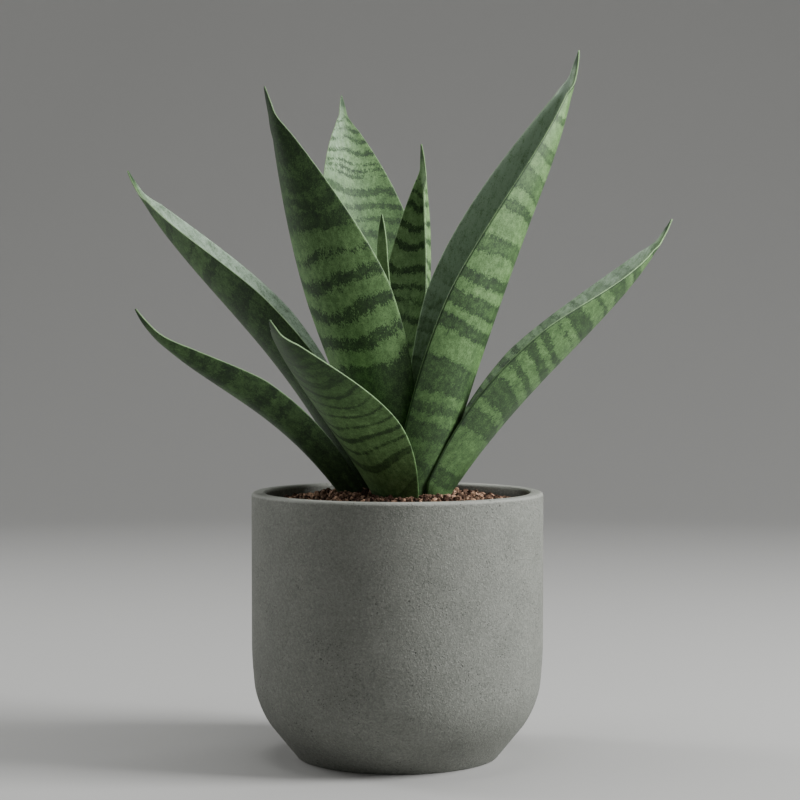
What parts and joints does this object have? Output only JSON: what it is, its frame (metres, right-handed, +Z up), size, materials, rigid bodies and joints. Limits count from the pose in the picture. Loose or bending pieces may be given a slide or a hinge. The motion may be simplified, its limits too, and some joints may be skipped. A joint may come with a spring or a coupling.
{
  "type": "potted snake plant",
  "caption": "Snake plant with broad channelled upright leaves in a round, matte grey concrete pot dressed with reddish-brown lava gravel.",
  "frame": {"origin": "centre of the pot's flat foot, which rests on the table", "axes": "+Z up along the pot's axis; -Y towards the viewer, from the side that the short front leaf leans to; +X to the viewer's right, where the tallest leaf leans"},
  "size_m": [0.2792, 0.2664, 0.3407],
  "materials": {
    "pot_concrete": "matte",
    "lava_gravel": "matte",
    "potting_mix": "matte",
    "rootstock": "matte",
    "leaf_green": "satin"
  },
  "bodies": {
    "root": {"pot": "pot_concrete", "potting_mix": "potting_mix", "gravel": "lava_gravel", "rootstock": "rootstock", "leaf_low_left": "leaf_green", "leaf_mid_left": "leaf_green", "leaf_front": "leaf_green", "leaf_tall_left": "leaf_green", "leaf_back": "leaf_green", "leaf_middle": "leaf_green", "leaf_new_spear": "leaf_green", "leaf_tall_right": "leaf_green", "leaf_low_right": "leaf_green"}
  },
  "joints": []
}
